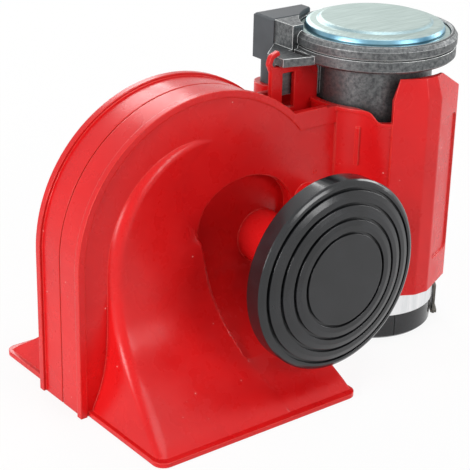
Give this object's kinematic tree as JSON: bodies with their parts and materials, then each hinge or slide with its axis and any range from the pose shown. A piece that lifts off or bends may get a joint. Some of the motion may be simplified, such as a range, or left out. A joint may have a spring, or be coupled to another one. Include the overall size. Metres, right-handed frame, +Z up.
{
  "type": "compact electric air horn",
  "caption": "Compact air horn: folded plastic horn with a flared mouth facing down, round diaphragm driver, and an upright motor with a vane pump on top.",
  "frame": {"origin": "middle of the whole unit, at the plane of the mouth's lip", "axes": "+Z up, away from the mouth; +X from the coil towards the motor; -Y towards the diaphragm driver"},
  "size_m": [0.1395, 0.0846, 0.1002],
  "materials": {
    "red_abs": "glossy moulded ABS",
    "black_plastic": "moulded glass-filled nylon",
    "grey_plastic": "moulded dark grey plastic",
    "steel_zinc": "zinc-plated pressed steel",
    "spring_steel": "spring steel",
    "shaft_steel": "ground steel",
    "core_steel": "stacked electrical steel",
    "copper": "enamelled copper",
    "tin_brass": "tinned brass",
    "die_cast": "raw die-cast aluminium",
    "bronze": "sintered bronze",
    "ferrite": "ferrite magnet",
    "carbon": "carbon",
    "rubber": "moulded rubber",
    "foam": "open-cell foam"
  },
  "bodies": {
    "horn": {"horn_front_shell": "red_abs", "horn_back_shell": "red_abs", "driver_cap": "grey_plastic", "driver_base": "black_plastic", "diaphragm": "spring_steel", "driver_seal": "rubber", "motor_can": "steel_zinc", "motor_end_cap": "grey_plastic", "end_cap_screws": "steel_zinc", "field_magnets": "ferrite", "bearing_lower": "bronze", "bearing_upper": "bronze", "brush_plate": "black_plastic", "brushes": "carbon", "brush_springs": "spring_steel", "spade_terminals": "tin_brass", "pump_head": "die_cast", "port_plate": "shaft_steel", "intake_filter": "foam", "lid_gasket": "rubber", "pump_lid": "steel_zinc", "outlet_elbow": "black_plastic", "outlet_seal": "rubber", "mount_stud": "steel_zinc", "mount_washer": "steel_zinc", "mount_nut": "steel_zinc"},
    "armature": {"shaft": "shaft_steel", "armature_core": "core_steel", "windings": "copper", "commutator": "copper", "pump_rotor": "black_plastic", "pump_vanes": "carbon"}
  },
  "joints": [
    {"name": "armature_spin", "type": "hinge", "parent": "horn", "child": "armature", "pos_m": [0.04545, 0.0003, 0.045], "axis": [0, 0, 1], "continuous": true}
  ]
}
